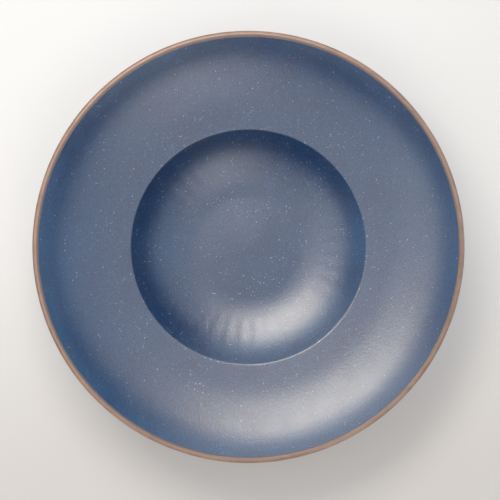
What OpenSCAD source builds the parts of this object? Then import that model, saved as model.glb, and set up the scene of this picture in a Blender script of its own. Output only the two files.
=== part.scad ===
// Wide-rimmed pasta bowl in glazed stoneware.
// One turned clay body carries every load. Blue glaze lies on its upper face, on its underside and inside
// its foot ring, and a brown band of oxide is wrapped round its lip. Each coat is a thin solid of its own,
// and follows the same curves as the clay under it. The origin is the middle of the foot ring, at the level
// of the table, and +Z is up the bowl's axis.

/* [Overall] */
// Diameter over the lip
bowl_d = 280; // [230:1:340]
// Height of the lip above the table
bowl_h = 50.5; // [44:0.1:64]

/* [Well] */
// Diameter of the well, just under the edge where it meets the rim
well_d = 154.8; // [125:0.2:185]
// Height of the glazed floor above the table, along its lowest ring
floor_z = 9.2; // [8:0.1:13]
// Diameter of the floor's lowest ring
floor_d = 67; // [50:0.2:84]
// How far the floor rises from that ring to its middle
floor_dome = 1.1; // [0.5:0.1:3]
// Slope of the well's wall just under its edge, in degrees
wall_slope = 38; // [35:1:56]
// Slope of the well between its floor and its wall, in degrees
well_slope = 20.5; // [16:0.5:26]
// Radius of the edge between the well and the rim
edge_r = 2.4; // [1:0.1:5]
// Thickness of the well's wall in clay
wall_t = 5.6; // [4:0.1:8]

/* [Rim] */
// How far the top of the lip stands above the well's edge
rim_rise = 23; // [16:0.1:27]
// Slope of the rim where it leaves the well's edge, in degrees
rim_slope = 10.5; // [6:0.5:14]
// Slope of the rim near its middle, in degrees
rim_middle_slope = 19; // [16:0.5:25]
// Slope that the rim has reached at the lip, in degrees
lip_slope = 38; // [30:1:50]
// Thickness of the rim in clay, where it leaves the well
rim_t = 5.2; // [4:0.1:8]
// Thickness of the rounded lip in clay
lip_t = 4; // [3:0.1:6]
// Radius of the hollow curve under the rim, where it meets the wall
shoulder_r = 14; // [8:0.5:18]

/* [Foot] */
// Outside diameter of the foot ring at the table
foot_d = 94; // [80:1:110]
// Width of the foot ring at the table, with its rounded corners
foot_w = 5; // [4:0.1:7]
// Height at which the foot's outer side meets the bowl's underside
foot_h = 5.4; // [4.5:0.1:7]
// Depth of the hollow inside the foot ring
recess_h = 2.8; // [2.4:0.1:3.8]
// How far each side of the foot ring leans out from bottom to top
foot_lean = 1.2; // [0.5:0.1:2]
// Radius on both lower corners of the foot ring
foot_r = 0.9; // [0.4:0.1:1.2]
// Radius of the inner corners above the foot ring, inside and outside
root_r = 1.2; // [0.8:0.1:1.6]

/* [Glaze] */
// Thickness of the glaze
glaze_t = 0.5; // [0.3:0.05:0.7]
// Thickness of the oxide band on the lip
band_t = 0.25; // [0.15:0.05:0.3]
// Height of bare clay on the foot's outer side
bare_h = 1.6; // [1.3:0.1:2.6]
// Height of bare clay on the foot's inner side
inner_bare_h = 1.2; // [1:0.1:1.4]

/* [Hidden] */

CLAY = "#b58f7a";
BLUE = "#4a6488";
BROWN = "#a27e68";

// Fineness: facets in a full turn, steps in a long curve, and degrees in one step of a rounded corner.
$fn = 180;
bend_steps = 14;
arc_step = 9;

// Pull on the start and the end of each long curve, as shares of the distance between them.
floor_pull_shares = [0.13, 0.19];
well_pull_shares = [0.42, 0.14];
wall_pull_shares = [0.44, 0.38];
inner_rim_pull_shares = [0.49, 0.34];
outer_rim_pull_shares = [0.52, 0.31];
outer_wall_pull_shares = [0.3, 0.4];

// Where two long curves meet, as shares of the way out and of the way up: in the well, and on the rim.
well_meeting_shares = [0.495, 0.269];
rim_meeting_shares = [0.486, 0.296];

// Slope of the underside where it leaves the foot ring, in degrees.
underside_slope = 14;

// Directions and paths. An angle is counted from straight outwards, and up is positive.
function unit(v) = v / norm(v);
function heading(angle) = [cos(angle), sin(angle)];
function left_of(v) = [-v[1], v[0]];
function above(slope) = left_of(heading(slope));
function backwards(path) = [for (i = [len(path) - 1 : -1 : 0]) path[i]];
function without_first(path) = [for (i = [1 : 1 : len(path) - 1]) path[i]];
function part_way(p, q, shares) = [p[0] + (q[0] - p[0]) * shares[0], p[1] + (q[1] - p[1]) * shares[1]];

// Points of a circular arc.
function arc(middle, radius, from, to) =
    let (steps = ceil(abs(to - from) / arc_step))
    [for (i = [0 : steps]) middle + radius * heading(from + (to - from) * i / steps)];

// Points of a rounded corner at p, on a path that comes from a and goes on to b, moved to its left by t.
function rounded(a, p, b, radius, t) =
    let (back = unit(a - p), on = unit(b - p), half = acos(back * on) / 2,
         turn = cross(p - a, b - p) > 0 ? 1 : -1,
         middle = p + unit(back + on) * radius / sin(half),
         first = p + back * radius / tan(half) - middle,
         from = atan2(first[1], first[0]))
    arc(middle, radius - turn * t, from, from + turn * (180 - 2 * half));

// Points of a curve that leaves p at one slope and reaches q at another, moved to its left by t.
function bend(p, p_slope, q, q_slope, pull_shares, t) =
    let (span = norm(q - p),
         a = p + pull_shares[0] * span * heading(p_slope),
         b = q - pull_shares[1] * span * heading(q_slope))
    [for (i = [0 : bend_steps])
        let (u = i / bend_steps, v = 1 - u, way = v * v * (a - p) + 2 * u * v * (b - a) + u * u * (q - b))
        v * v * v * p + 3 * v * v * u * a + 3 * v * u * u * b + u * u * u * q + t * left_of(unit(way))];

// The lip is a half round about lip_c. The upper and the under glaze end where the round begins.
lip_r = lip_t / 2;
lip_c = [bowl_d / 2 - band_t - lip_r, bowl_h - band_t - lip_r];
lip_top = lip_c + lip_r * above(lip_slope);
lip_bottom = lip_c - lip_r * above(lip_slope);

// The well's edge is an arc about edge_c, which takes the clay from the wall to the rim.
edge_c = [well_d / 2 + edge_r * sin(wall_slope), bowl_h - rim_rise - edge_r];
clay_edge_r = edge_r - glaze_t;
wall_top = edge_c + clay_edge_r * above(wall_slope);
rim_start = edge_c + clay_edge_r * above(rim_slope);

// The floor of the well, in clay: its lowest ring, and the low dome inside that ring.
floor_line = [floor_d / 2, floor_z - glaze_t];
floor_middle = [0, floor_line[1] + floor_dome];

// Where the two curves of the well meet, and where the two curves of the rim meet.
well_meeting = part_way(floor_line, wall_top, well_meeting_shares);
rim_meeting = part_way(rim_start, lip_top, rim_meeting_shares);

// The upper face, from the axis out to the lip.
function upper_path(t) = concat(
    bend(floor_middle, 0, floor_line, 0, floor_pull_shares, t),
    without_first(bend(floor_line, 0, well_meeting, well_slope, well_pull_shares, t)),
    without_first(bend(well_meeting, well_slope, wall_top, wall_slope, wall_pull_shares, t)),
    without_first(arc(edge_c, clay_edge_r + t, 90 + wall_slope, 90 + rim_slope)),
    without_first(bend(rim_start, rim_slope, rim_meeting, rim_middle_slope, inner_rim_pull_shares, t)),
    without_first(bend(rim_meeting, rim_middle_slope, lip_top, lip_slope, outer_rim_pull_shares, t)));

// The corners of the foot ring, from the hollow's roof round to the bowl's underside.
roof_middle = [0, recess_h];
land_out = [foot_d / 2, 0];
land_in = [foot_d / 2 - foot_w, 0];
roof_corner = land_in + [-foot_lean, recess_h];
foot_root = land_out + [foot_lean, foot_h];
root_reach = root_r * tan((atan2(foot_h, foot_lean) - underside_slope) / 2);
underside_start = foot_root + root_reach * heading(underside_slope);

// The corner under the rim is where the wall's outer line meets the rim's lower line.
wall_out = wall_top - wall_t * above(wall_slope);
rim_under = rim_start - rim_t * above(rim_slope);
wall_way = heading(wall_slope);
rim_way = heading(rim_slope);
shoulder = wall_out + wall_way * cross(rim_under - wall_out, rim_way) / cross(wall_way, rim_way);
shoulder_reach = shoulder_r * tan((wall_slope - rim_slope) / 2);
shoulder_low = shoulder - shoulder_reach * wall_way;
shoulder_high = shoulder + shoulder_reach * rim_way;

// Under rim_meeting the rim's thickness is the mean of rim_t and lip_t.
under_meeting = rim_meeting - (rim_t + lip_t) / 2 * above(rim_middle_slope);

// The underside, from the foot's outer side out to the lip.
function underside_path(t) = concat(
    rounded(land_out, foot_root, underside_start, root_r, t),
    without_first(bend(underside_start, underside_slope, shoulder_low, wall_slope, outer_wall_pull_shares, t)),
    without_first(rounded(shoulder_low, shoulder, shoulder_high, shoulder_r, t)),
    without_first(bend(shoulder_high, rim_slope, under_meeting, rim_middle_slope, inner_rim_pull_shares, t)),
    without_first(bend(under_meeting, rim_middle_slope, lip_bottom, lip_slope, outer_rim_pull_shares, t)));

// The hollow inside the foot ring, from the axis to its inner side.
function recess_path(t) = concat([roof_middle + [0, t]], rounded(roof_middle, roof_corner, land_in, root_r, t));

// The foot ring's two rounded lower corners.
function land_path() = concat(
    rounded(roof_corner, land_in, land_out, foot_r, 0),
    rounded(land_in, land_out, foot_root, foot_r, 0));

// A point on the outer or the inner side of the foot ring, at height h and moved to the left by t.
function on_side(low, high, h, t) = low + (high - low) * h / high[1] + t * left_of(unit(high - low));

module turned(outline, colour) {
    color(colour) rotate_extrude() polygon(outline);
}

module clay_body() {
    turned(concat(
        recess_path(0),
        land_path(),
        underside_path(0),
        without_first(arc(lip_c, lip_r, lip_slope - 90, lip_slope + 90)),
        without_first(backwards(upper_path(0)))), CLAY);
}

// Next to the lip, each glaze thins to the band's thickness over a short length equal to that thickness.
module upper_glaze() {
    turned(concat(
        upper_path(0),
        [lip_top + band_t * above(lip_slope)],
        [lip_top + glaze_t * above(lip_slope) - band_t * heading(lip_slope)],
        without_first(backwards(upper_path(glaze_t)))), BLUE);
}

module lip_band() {
    turned(concat(
        arc(lip_c, lip_r, lip_slope - 90, lip_slope + 90),
        arc(lip_c, lip_r + band_t, lip_slope + 90, lip_slope - 90)), BROWN);
}

module underside_glaze() {
    turned(concat(
        [on_side(land_out, foot_root, bare_h, 0)],
        underside_path(0),
        [lip_bottom - band_t * above(lip_slope)],
        [lip_bottom - glaze_t * above(lip_slope) - band_t * heading(lip_slope)],
        without_first(backwards(underside_path(-glaze_t))),
        [on_side(land_out, foot_root, bare_h, -glaze_t)]), BLUE);
}

module foot_recess_glaze() {
    turned(concat(
        recess_path(0),
        [on_side(land_in, roof_corner, inner_bare_h, 0), on_side(land_in, roof_corner, inner_bare_h, glaze_t)],
        backwards(recess_path(-glaze_t))), BLUE);
}

clay_body();
upper_glaze();
lip_band();
underside_glaze();
foot_recess_glaze();
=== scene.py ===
import math

import bpy
import numpy as np
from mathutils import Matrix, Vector


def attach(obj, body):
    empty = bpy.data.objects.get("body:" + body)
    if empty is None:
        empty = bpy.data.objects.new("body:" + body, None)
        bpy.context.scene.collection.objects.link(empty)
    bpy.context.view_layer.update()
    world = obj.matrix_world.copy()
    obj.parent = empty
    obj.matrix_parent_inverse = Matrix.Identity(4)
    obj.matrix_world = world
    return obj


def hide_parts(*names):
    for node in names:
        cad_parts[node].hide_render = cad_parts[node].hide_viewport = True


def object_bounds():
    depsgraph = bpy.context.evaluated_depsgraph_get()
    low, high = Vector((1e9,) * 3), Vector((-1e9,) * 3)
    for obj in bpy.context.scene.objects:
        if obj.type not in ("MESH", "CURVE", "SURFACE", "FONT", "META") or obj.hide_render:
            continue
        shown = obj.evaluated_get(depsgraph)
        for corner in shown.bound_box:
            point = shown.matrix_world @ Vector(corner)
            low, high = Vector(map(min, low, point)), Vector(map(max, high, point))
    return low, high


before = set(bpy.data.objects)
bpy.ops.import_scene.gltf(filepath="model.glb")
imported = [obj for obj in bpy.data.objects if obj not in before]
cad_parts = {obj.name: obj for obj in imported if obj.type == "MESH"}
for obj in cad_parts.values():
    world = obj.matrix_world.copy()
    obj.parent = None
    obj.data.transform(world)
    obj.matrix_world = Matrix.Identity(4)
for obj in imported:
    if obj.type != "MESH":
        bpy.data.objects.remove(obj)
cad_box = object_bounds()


# The clay body: one piece of light brown stoneware, thrown on a wheel and turned to its foot when leather
# hard. It is the bowl's floor, wall, rim, lip and foot ring. Glaze and oxide cover it but for the ring's
# lowest part, which stands on the kiln shelf and on the table.
TURN_STEPS = 1080
STEP_ANGLES = np.arange(TURN_STEPS) * 2 * math.pi / TURN_STEPS
CURVE_STEP = 0.0007
LONG_STEP = 2
CORNER_TURN = math.radians(30)
SHARP_EDGE = math.radians(35)
PLACE_DIGITS = 7
NEARLY_ZERO = 1e-7
CLAY_LIGHT = (0.50, 0.335, 0.235, 1)
CLAY_DARK = (0.37, 0.235, 0.16, 1)
CLAY_TONES = (0.35, 0.65)
CLAY_ROUGHNESS = 0.82
CLAY_DEPTH, CLAY_STRENGTH = 0.00008, 0.6
GROG_SIZE = 0.0007
GROG_PART = 0.6
BLUSH_SIZE = 0.03
TRIM_PITCH = 0.0011
TRIM_PART = 0.15


def outline(cad_node):
    """Corners (r, z) of a CAD piece's half section, from its mesh's edges in the XZ half plane. They run
    outwards along the lower side and back along the upper one. A flat face across the axis gets its middle
    point."""
    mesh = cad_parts[cad_node].data
    corner = {v.index: (round(v.co.x, PLACE_DIGITS), round(v.co.z, PLACE_DIGITS))
              for v in mesh.vertices if abs(v.co.y) < NEARLY_ZERO and v.co.x > -NEARLY_ZERO}
    links = {}
    for edge in mesh.edges:
        a, b = (corner.get(i) for i in edge.vertices)
        if a and b and a != b:
            links.setdefault(a, []).append(b)
            links.setdefault(b, []).append(a)
    ends = [p for p in links if len(set(links[p])) == 1]
    path = [min(ends or links, key=lambda p: (p[1], p[0]))]
    while True:
        onward = [p for p in links[path[-1]] if p not in path]
        if not onward:
            break
        path.append(onward[0])
    if ends:
        path = [(0.0, path[0][1])] * (path[0][0] > 0) + path + [(0.0, path[-1][1])] * (path[-1][0] > 0)
    r, z = np.array(path).T
    twice_area = np.dot(r, np.roll(z, -1)) - np.dot(z, np.roll(r, -1))
    return np.array(path if twice_area > 0 else path[::-1])


def turns(path):
    """The angle that a path turns by at each of its inner points."""
    way = np.diff(path, axis=0)
    heading = np.unwrap(np.arctan2(way[:, 1], way[:, 0]))
    return np.diff(heading)


def smooth(path):
    """One curve through the points of a path, with a point about every CURVE_STEP. Next to a step over
    LONG_STEP times as long as the one on its other side, the curve keeps the long step's direction."""
    gap = np.hypot(*np.diff(path, axis=0).T)[:, None]
    rate = np.diff(path, axis=0) / gap
    before, after = gap[:-1], gap[1:]
    share = np.where(before > LONG_STEP * after, 1, after / (before + after))
    share = np.where(after > LONG_STEP * before, 0, share)
    pull = np.vstack([rate[:1], rate[:-1] * share + rate[1:] * (1 - share), rate[-1:]])
    curve = []
    for i, length in enumerate(gap[:, 0]):
        steps = max(1, round(length / CURVE_STEP))
        u = np.arange(steps)[:, None] / steps
        curve.append((1 + 2 * u) * (1 - u) ** 2 * path[i] + u * (1 - u) ** 2 * length * pull[i]
                     + u ** 2 * (3 - 2 * u) * path[i + 1] + u ** 2 * (u - 1) * length * pull[i + 1])
    return np.vstack(curve + [path[-1:]])


def faces_of(path):
    """A path cut at its real corners, each stretch made smooth. The steps of a curve turn less than that."""
    cuts = [0] + [i + 1 for i, t in enumerate(turns(path)) if abs(t) > CORNER_TURN] + [len(path) - 1]
    return [smooth(path[a:b + 1]) for a, b in zip(cuts, cuts[1:])]


def joined(faces):
    """Stretches of a path put end to end, with each point that two of them share only once."""
    return np.vstack([faces[0]] + [face[1:] for face in faces[1:]])


def round_rings(path):
    """The same path at every step round the axis, as an array that a piece can then shape."""
    return np.repeat(path[:, None, :], TURN_STEPS, axis=1)


def turned(name, rings, closed):
    """A solid turned about the Z axis. rings[i, j] is (r, z) of ring i at step j round the axis. A closed one
    goes round a hole: its last ring joins its first."""
    r, z = rings[..., 0], rings[..., 1]
    points = np.stack([r * np.cos(STEP_ANGLES), r * np.sin(STEP_ANGLES), z], axis=-1)
    on_axis = [i for i in (0, len(rings) - 1) if rings[i, 0, 0] < NEARLY_ZERO]
    inner = [i for i in range(len(rings)) if i not in on_axis]
    vertices = [tuple(p) for p in points[inner].reshape(-1, 3)]
    first = np.arange(len(inner))[:, None] * TURN_STEPS + np.arange(TURN_STEPS)
    onward = np.roll(first, -1, axis=1)
    below, above = slice(0, -1), slice(1, None)
    if closed:
        below, above = slice(None), np.roll(np.arange(len(inner)), -1)
    faces = np.stack([first[below], onward[below], onward[above], first[above]], axis=-1)
    faces = faces.reshape(-1, 4).tolist()
    for i in on_axis:
        vertices.append(tuple(points[i, 0]))
        tip = len(vertices) - 1
        a, b = (first[0], onward[0]) if i == 0 else (onward[-1], first[-1])
        faces += [(tip, int(q), int(p)) for p, q in zip(a, b)]
    mesh = bpy.data.meshes.new(name)
    mesh.from_pydata(vertices, [], faces)
    mesh.polygons.foreach_set("use_smooth", [True] * len(mesh.polygons))
    mesh.set_sharp_from_angle(angle=SHARP_EDGE)
    piece = bpy.data.objects.new(name, mesh)
    bpy.context.scene.collection.objects.link(piece)
    return piece


def shader(name):
    """A new material, its node tree and its surface shader."""
    material = bpy.data.materials.new(name)
    material.use_nodes = True
    return material, material.node_tree, material.node_tree.nodes["Principled BSDF"]


def node(tree, kind, inputs, **settings):
    """A node of a material. Each input is a value, or the output of another node, which is linked to it."""
    made = tree.nodes.new(kind)
    for key, value in settings.items():
        setattr(made, key, value)
    for key, value in inputs.items():
        if isinstance(value, bpy.types.NodeSocket):
            tree.links.new(value, made.inputs[key])
        else:
            made.inputs[key].default_value = value
    return made


def place(tree):
    """A point's place on the bowl, in metres."""
    return node(tree, "ShaderNodeTexCoord", {}).outputs["Object"]


def maths(tree, operation, *values):
    """The result of one sum on values or outputs."""
    return node(tree, "ShaderNodeMath", dict(enumerate(values)), operation=operation).outputs[0]


def blend(tree, one, part, other):
    """Two values added up: that part of the one, and the rest of the other."""
    return maths(tree, "ADD", maths(tree, "MULTIPLY", one, part), maths(tree, "MULTIPLY", other, 1 - part))


def noise(tree, where, size, detail=2, roughness=0.5):
    """Cloudy noise from 0 to 1, with features of about that size in metres."""
    return node(tree, "ShaderNodeTexNoise", {"Vector": where, "Scale": 1 / size, "Detail": detail,
                                             "Roughness": roughness}).outputs["Fac"]


def between(tree, share, low, high):
    """A colour between two colours."""
    mixed = node(tree, "ShaderNodeMix", {"Factor": share}, data_type="RGBA")
    for key, value in (("A", low), ("B", high)):
        socket = next(s for s in mixed.inputs if s.name == key and s.type == "RGBA")
        if isinstance(value, bpy.types.NodeSocket):
            tree.links.new(value, socket)
        else:
            socket.default_value = value
    return next(s for s in mixed.outputs if s.type == "RGBA")


def ramp(tree, value, low, high, to_low=0.0, to_high=1.0):
    """A value brought smoothly from one range to another."""
    return node(tree, "ShaderNodeMapRange", {"Value": value, "From Min": low, "From Max": high,
                                             "To Min": to_low, "To Max": to_high},
                interpolation_type="SMOOTHSTEP").outputs["Result"]


def emboss(tree, surface, height, depth, strength):
    """Fine relief on a surface: depth in metres for each 1 of height."""
    bump = node(tree, "ShaderNodeBump", {"Height": height, "Strength": strength, "Distance": depth})
    tree.links.new(bump.outputs["Normal"], surface.inputs["Normal"])


def stoneware():
    """Bare fired clay: warm, dry, with grog in it and the fine rings that the turning tool leaves."""
    material, tree, surface = shader("bare_stoneware")
    where = place(tree)
    grog = noise(tree, where, GROG_SIZE, detail=6, roughness=0.7)
    blush = noise(tree, where, BLUSH_SIZE, detail=3)
    share = ramp(tree, blend(tree, grog, GROG_PART, blush), *CLAY_TONES)
    tree.links.new(between(tree, share, CLAY_DARK, CLAY_LIGHT), surface.inputs["Base Color"])
    surface.inputs["Roughness"].default_value = CLAY_ROUGHNESS
    height = node(tree, "ShaderNodeSeparateXYZ", {"Vector": where}).outputs["Z"]
    rings = maths(tree, "SINE", maths(tree, "MULTIPLY", height, 2 * math.pi / TRIM_PITCH))
    relief = maths(tree, "ADD", grog, maths(tree, "MULTIPLY", rings, TRIM_PART))
    emboss(tree, surface, relief, CLAY_DEPTH, CLAY_STRENGTH)
    return material


clay_path = joined(faces_of(outline("clay_body")))
clay_body = turned("clay_body_turned", round_rings(clay_path), closed=False)
clay_body.data.materials.append(stoneware())
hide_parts("clay_body")
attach(clay_body, "root")


# The upper glaze: a satin blue coat, poured over the upper face and fired. It carries small cream specks,
# and shallow flutes run up the well's wall under it. It ends in a line just inside the rounded lip.
FLUTES = ((36, 0.4), (38, 2.1), (41, 1.0))
FLUTE_DEPTH = 0.0001
FLUTE_FROM, FLUTE_TO = 0.044, 0.0771
FLUTE_LEVEL = 1.15
FLUTE_SWINGS = ((2, 0.45, 5.2), (1, 0.2, 2.6))
GLAZE_DEEP = (0.0, 0.003, 0.055, 1)
GLAZE_PALE = (0.0, 0.086, 0.22, 1)
GLAZE_TONES = (0.35, 0.75)
GLAZE_CLOUD = 0.02
CLOUD_PART = 0.12
GRAIN_SIZE = 0.0007
GLAZE_ROUGHNESS = 0.37
ROUGHNESS_SWING = 0.03
DULL_CLOUD = 0.012
GLAZE_IOR = 2.28
PEBBLE_SIZE = 0.0011
PEBBLE_DEPTH, PEBBLE_STRENGTH = 0.00011, 0.8
SPECK_PALE = (0.34, 0.38, 0.50, 1)
SPECK_SPACING = 0.0012
SPECK_RADIUS = 0.0005
SPECK_SMALLEST = 0.4
SPECK_CORE = 0.7
SPECK_FAINT, SPECK_STRONG = 0.2, 0.9
SPECK_RELIEF = 0.25
SPECK_SHARE = 0.36
SPECKS_LEFT = 0.4
THINNING_FROM, THINNING_TO = 0.075, 0.135
CLUMP_SIZE = 0.012
CLUMP_NOISE = (0.3, 0.7)
CLUMP_SPECKS = (0.3, 1.7)
STAIN_COLOUR = (0.06, 0.04, 0.04, 1)
STAIN_WIDTH = 0.0009
STAIN_FULL = 0.3
STAIN_DULLS = 0.3


def specks(tree, where, spacing, shown, radius):
    """Round specks strewn in the glaze: up to 1 in a speck and 0 outside. shown is the share of places with
    a speck. Most are small and faint, and a speck's edge is soft outside its core."""
    cells = node(tree, "ShaderNodeTexVoronoi", {"Vector": where, "Scale": 1 / spacing, "Randomness": 1.0})
    draw = node(tree, "ShaderNodeSeparateColor", {"Color": cells.outputs["Color"]})
    chosen = maths(tree, "LESS_THAN", draw.outputs["Red"], shown)
    mostly_small = maths(tree, "POWER", draw.outputs["Green"], 2)
    size = maths(tree, "MULTIPLY", ramp(tree, mostly_small, 0, 1, SPECK_SMALLEST, 1), radius / spacing)
    inside = ramp(tree, maths(tree, "DIVIDE", cells.outputs["Distance"], size), 1.0, SPECK_CORE)
    mostly_faint = maths(tree, "POWER", draw.outputs["Blue"], 2)
    strength = ramp(tree, mostly_faint, 0, 1, SPECK_FAINT, SPECK_STRONG)
    return maths(tree, "MULTIPLY", maths(tree, "MULTIPLY", inside, chosen), strength)


def from_axis(tree, part):
    """How far a point lies from the bowl's axis, from the X and Y of its place."""
    squares = [maths(tree, "POWER", part[name], 2) for name in ("X", "Y")]
    return maths(tree, "SQRT", maths(tree, "ADD", *squares))


def blue_glaze(glaze_end):
    """Satin blue glaze: cloudy and finely grained in tone, strewn with pale specks that lie in loose clumps
    and thin out towards the lip, and faintly pebbled to the touch. The lip's oxide stains and dulls its last
    edge, which lies at the radius glaze_end."""
    material, tree, surface = shader("blue_speckled_glaze")
    where = place(tree)
    radius = from_axis(tree, node(tree, "ShaderNodeSeparateXYZ", {"Vector": where}).outputs)
    cloud = noise(tree, where, GLAZE_CLOUD, detail=4, roughness=0.6)
    grain = noise(tree, where, GRAIN_SIZE, detail=2, roughness=0.6)
    tone = ramp(tree, blend(tree, cloud, CLOUD_PART, grain), *GLAZE_TONES)
    clump = ramp(tree, noise(tree, where, CLUMP_SIZE), *CLUMP_NOISE, *CLUMP_SPECKS)
    thinned = ramp(tree, radius, THINNING_FROM, THINNING_TO, SPECK_SHARE, SPECK_SHARE * SPECKS_LEFT)
    pale = specks(tree, where, SPECK_SPACING, maths(tree, "MULTIPLY", clump, thinned), SPECK_RADIUS)
    stain = ramp(tree, radius, glaze_end - STAIN_WIDTH, glaze_end - STAIN_FULL * STAIN_WIDTH)
    blue = between(tree, pale, between(tree, tone, GLAZE_DEEP, GLAZE_PALE), SPECK_PALE)
    tree.links.new(between(tree, stain, blue, STAIN_COLOUR), surface.inputs["Base Color"])
    roughness = ramp(tree, noise(tree, where, DULL_CLOUD, detail=3), 0, 1,
                     GLAZE_ROUGHNESS - ROUGHNESS_SWING, GLAZE_ROUGHNESS + ROUGHNESS_SWING)
    dulled = maths(tree, "ADD", roughness, maths(tree, "MULTIPLY", stain, STAIN_DULLS))
    tree.links.new(dulled, surface.inputs["Roughness"])
    surface.inputs["IOR"].default_value = GLAZE_IOR
    pebble = maths(tree, "ADD", noise(tree, where, PEBBLE_SIZE), maths(tree, "MULTIPLY", pale, SPECK_RELIEF))
    emboss(tree, surface, pebble, PEBBLE_DEPTH, PEBBLE_STRENGTH)
    return material


def fluted(face):
    """A face of the upper glaze, pressed down along the flutes, most in the middle of the well's wall. Each
    of FLUTES is a wave's count round the bowl and its start. Waves of nearly the same count, added up, give
    flutes of uneven depth and spacing. FLUTE_SWINGS, with count, size and start, make two sides deeper."""
    way = np.gradient(face, axis=0)
    normal = np.stack([-way[:, 1], way[:, 0]], axis=1) / np.hypot(*way.T)[:, None]
    up_wall = np.clip((face[:, 0] - FLUTE_FROM) / (FLUTE_TO - FLUTE_FROM), 0, 1)
    fade = np.sin(up_wall * math.pi)
    wave = np.mean([0.5 - 0.5 * np.cos(count * STEP_ANGLES + start) for count, start in FLUTES], axis=0)
    level = FLUTE_LEVEL
    for count, swing, start in FLUTE_SWINGS:
        level = level + swing * np.cos(count * STEP_ANGLES + start)
    depth = FLUTE_DEPTH * fade[:, None, None] * (wave * level)[None, :, None]
    return round_rings(face) - depth * normal[:, None, :]


upper_path = outline("upper_glaze")
upper_faces = faces_of(upper_path)
top_face = upper_faces[-1][::-1]
upper_rings = np.concatenate([round_rings(joined(upper_faces[:-1])), fluted(top_face)[::-1][1:]])
GLAZE = blue_glaze(glaze_end=float(upper_path[:, 0].max()))
upper_glaze = turned("upper_glaze_coat", upper_rings, closed=False)
upper_glaze.data.materials.append(GLAZE)
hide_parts("upper_glaze")
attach(upper_glaze, "root")


# The underside glaze and the round patch inside the foot ring: the same blue glaze, put on by dipping. The
# ring between them is wiped clean before firing, so each coat ends in a soft edge on the ring's side.


def round_trip(path):
    """A path that comes back to its start, cut at its corners and made smooth, with its start only once."""
    return joined(faces_of(np.vstack([path, path[:1]])))[:-1]


underside_rings = round_rings(round_trip(outline("underside_glaze")))
underside_glaze = turned("underside_glaze_coat", underside_rings, closed=True)
recess_rings = round_rings(joined(faces_of(outline("foot_recess_glaze"))))
recess_glaze = turned("foot_recess_glaze_coat", recess_rings, closed=False)
for coat, cad_node in ((underside_glaze, "underside_glaze"), (recess_glaze, "foot_recess_glaze")):
    coat.data.materials.append(GLAZE)
    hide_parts(cad_node)
    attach(coat, "root")


# The lip band: iron oxide in water, laid on the rounded lip with a brush while the bowl turns. It is thin
# and dry, and the brush leaves fine lines along it.
LIP_PALE = (0.40, 0.225, 0.155, 1)
LIP_DARK = (0.17, 0.072, 0.038, 1)
LIP_THIN = (0.19, 0.115, 0.09, 1)
LIP_TONES = (0.22, 0.58)
LIP_CLOUD = 0.009
LIP_ROUGHNESS = 0.42
LIP_IOR = 1.8
THIN_WIDTH = 0.001
# Painted shade on the lip's outer side: between these two distances outside the inner line, the band's colour
# is darkened by up to this share.
PAINTED_SHADE_FROM, PAINTED_SHADE_TO = 0.0015, 0.0045
PAINTED_SHADE_DARKENS = 0.12
BRUSH_LINE = 0.0006
BRUSH_STRETCH = 0.02
BRUSH_PART = 0.6
BRUSH_DEPTH, BRUSH_STRENGTH = 0.00005, 0.5


def brushed_oxide(inner_line):
    """Brown oxide: fine lines along the lip from the brush, a little cloudy round the bowl, with a satin
    shine. Along its inner line it is thin and greyed by the glaze. Towards the outside it is painted darker,
    as painted shade on the lip's outer side, which turns away from the light. A place across the lip is its r
    less its z, and inner_line is that of the inner line."""
    material, tree, surface = shader("brushed_oxide")
    where = place(tree)
    part = node(tree, "ShaderNodeSeparateXYZ", {"Vector": where}).outputs
    across = maths(tree, "SUBTRACT", from_axis(tree, part), part["Z"])
    along = node(tree, "ShaderNodeCombineXYZ", {"X": maths(tree, "MULTIPLY", part["X"], BRUSH_STRETCH),
                                                "Y": maths(tree, "MULTIPLY", part["Y"], BRUSH_STRETCH),
                                                "Z": across})
    lines = noise(tree, along.outputs["Vector"], BRUSH_LINE, detail=4, roughness=0.6)
    cloud = noise(tree, where, LIP_CLOUD, detail=4, roughness=0.6)
    # Painted shade: the band gets darker towards its outside, for the lip's outer side that turns away from
    # the light.
    outer_painted_shade = ramp(tree, across, inner_line + PAINTED_SHADE_FROM, inner_line + PAINTED_SHADE_TO, 0, PAINTED_SHADE_DARKENS)
    streaks = blend(tree, lines, BRUSH_PART, cloud)
    share = ramp(tree, maths(tree, "SUBTRACT", streaks, outer_painted_shade), *LIP_TONES)
    full = ramp(tree, across, inner_line, inner_line + THIN_WIDTH)
    brown = between(tree, share, LIP_DARK, LIP_PALE)
    tree.links.new(between(tree, full, LIP_THIN, brown), surface.inputs["Base Color"])
    surface.inputs["Roughness"].default_value = LIP_ROUGHNESS
    surface.inputs["IOR"].default_value = LIP_IOR
    emboss(tree, surface, lines, BRUSH_DEPTH, BRUSH_STRENGTH)
    return material


band_path = outline("lip_band")
lip_band = turned("lip_band_coat", round_rings(round_trip(band_path)), closed=True)
lip_band.data.materials.append(brushed_oxide(inner_line=float((band_path[:, 0] - band_path[:, 1]).min())))
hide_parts("lip_band")
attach(lip_band, "root")


# The table that the bowl stands on: a plain white sheet that fills the picture. Where it is seen, straight or
# in a reflection, it also has a painted glow: painted light that dims and warms towards the near side, as
# painted falloff of the light. This painted glow keeps the bowl's shadow pale and lights nothing else.
FLOOR_HALF = 4.0
FLOOR_WHITE = (0.865, 0.847, 0.83, 1)
FLOOR_ROUGHNESS = 0.9
PAINTED_GLOW_FAR = (1.0, 0.94, 0.90, 1)
PAINTED_GLOW_NEAR = (0.57, 0.46, 0.38, 1)
DIM_FROM, DIM_TO = 0.03, -0.17
PAINTED_GLOW_SHARE = 0.3

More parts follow.
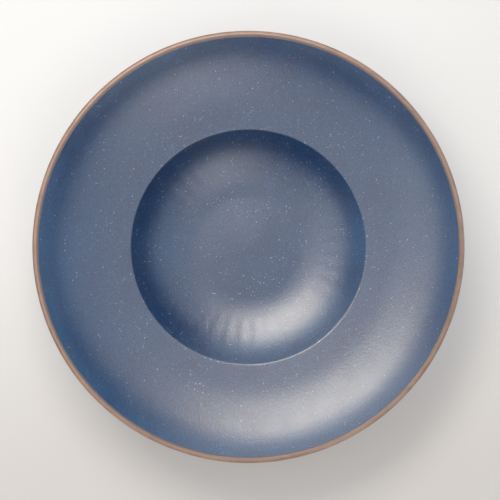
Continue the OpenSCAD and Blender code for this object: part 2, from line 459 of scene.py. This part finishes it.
floor_mesh = bpy.data.meshes.new("floor")
floor_mesh.from_pydata([(x * FLOOR_HALF, y * FLOOR_HALF, 0) for x, y in ((-1, -1), (1, -1), (1, 1), (-1, 1))],
                       [], [(0, 1, 2, 3)])
floor = bpy.data.objects.new("floor", floor_mesh)
bpy.context.scene.collection.objects.link(floor)
floor_paint, floor_tree, floor_surface = shader("white_sheet")
floor_surface.inputs["Base Color"].default_value = FLOOR_WHITE
floor_surface.inputs["Roughness"].default_value = FLOOR_ROUGHNESS
# The painted glow: painted light seen by the camera and in reflections, paler far off, dimmer and warmer
# near.
rays = node(floor_tree, "ShaderNodeLightPath", {}).outputs
seen = maths(floor_tree, "MAXIMUM", rays["Is Camera Ray"], rays["Is Glossy Ray"])
painted_glow_share = maths(floor_tree, "MULTIPLY", seen, PAINTED_GLOW_SHARE)
sheet = node(floor_tree, "ShaderNodeSeparateXYZ", {"Vector": place(floor_tree)}).outputs
far = ramp(floor_tree, sheet["Y"], DIM_TO, DIM_FROM)
pale = node(floor_tree, "ShaderNodeEmission", {"Color": between(floor_tree, far, PAINTED_GLOW_NEAR, PAINTED_GLOW_FAR),
                                               "Strength": 1.0})
mixed = node(floor_tree, "ShaderNodeMixShader", {0: painted_glow_share, 1: floor_surface.outputs["BSDF"],
                                                 2: pale.outputs["Emission"]})
floor_tree.links.new(mixed.outputs["Shader"], floor_tree.nodes["Material Output"].inputs["Surface"])
floor.data.materials.append(floor_paint)


# The light: a warm window high on the far side, cool daylight in a wide strip under it, a large pale panel
# above, and weak panels that fill in from the near side, the left and the right. Wide low strips stand for
# the bright far ends of the room and show in the steep glaze next to the lip.
LIT = Vector((0, 0, 0.03))
PANELS = (
    # name, degrees round from +X, degrees down from straight up, distance, width, height, light at the
    # bowl, colour
    ("window", 114, 35, 0.85, 0.6, 0.28, 0.552, (1.0, 0.91, 0.78)),
    ("daylight", 110, 57, 0.85, 1.35, 0.21, 0.312, (0.68, 0.83, 1.0)),
    ("ceiling_panel", 0, 0, 1.7, 2.6, 2.6, 0.563, (0.88, 0.93, 1.0)),
    ("near_panel", 288, 35, 1.2, 0.5, 0.5, 0.095, (1.0, 0.92, 0.83)),
    ("near_low_panel", 278, 50, 1.2, 0.8, 0.25, 0.02, (1.0, 0.9, 0.75)),
    ("right_panel", 5, 43, 1.2, 0.6, 0.6, 0.06, (0.6, 0.82, 1.0)),
    ("left_panel", 190, 43, 1.2, 0.8, 0.6, 0.122, (0.94, 0.99, 1.0)),
    ("left_low_panel", 180, 80, 1.5, 0.8, 0.5, 0.101, (0.30, 0.61, 1.0)),
    ("near_right_strip", 300, 86, 3.0, 2.5, 0.3, 0.229, (0.93, 1.0, 0.94)),
    ("near_left_strip", 240, 86, 3.0, 2.5, 0.3, 0.164, (0.92, 0.99, 1.0)),
    ("right_strip", 0, 86, 3.0, 2.5, 0.3, 0.211, (0.61, 0.81, 1.0)),
    ("far_right_strip", 45, 86, 3.0, 2.5, 0.3, 0.176, (0.33, 0.74, 1.0)),
)
ROOM_LIGHT = 0.01
ROOM_COLOUR = (1.0, 1.0, 1.0, 1)


def panel(name, turn, tilt, distance, width, height, light, colour):
    """A flat soft lamp that faces the bowl. light is what a white card facing it at the bowl would show."""
    lamp = bpy.data.objects.new(name, bpy.data.lights.new(name, "AREA"))
    turn, tilt = math.radians(turn), math.radians(tilt)
    towards = Vector((math.sin(tilt) * math.cos(turn), math.sin(tilt) * math.sin(turn), math.cos(tilt)))
    lamp.location = LIT + distance * towards
    lamp.rotation_mode = "QUATERNION"
    lamp.rotation_quaternion = towards.to_track_quat("Z", "Y")
    lamp.data.shape = "RECTANGLE"
    lamp.data.size, lamp.data.size_y = width, height
    lamp.data.energy = light * (math.pi * distance) ** 2
    lamp.data.color = colour
    lamp.visible_camera = False
    bpy.context.scene.collection.objects.link(lamp)


for made in PANELS:
    panel(*made)
room = bpy.data.worlds.new("room")
room.use_nodes = True
room.node_tree.nodes["Background"].inputs["Strength"].default_value = ROOM_LIGHT
room.node_tree.nodes["Background"].inputs["Color"].default_value = ROOM_COLOUR
bpy.context.scene.world = room


# The camera: straight above the bowl, a metre over its lip, as the picture was taken.
LIP_TOP = cad_box[1].z
CAMERA_ABOVE_LIP = 1.0
CAMERA_ASIDE = (0.001, -0.002)
PICTURE_WIDTH = 0.3232
SENSOR_WIDTH = 36

camera = bpy.data.objects.new("camera", bpy.data.cameras.new("camera"))
camera.location = (*CAMERA_ASIDE, LIP_TOP + CAMERA_ABOVE_LIP)
camera.data.sensor_width = SENSOR_WIDTH
camera.data.lens = SENSOR_WIDTH * CAMERA_ABOVE_LIP / PICTURE_WIDTH
bpy.context.scene.collection.objects.link(camera)
bpy.context.scene.camera = camera
bpy.context.scene.view_settings.view_transform = "Standard"
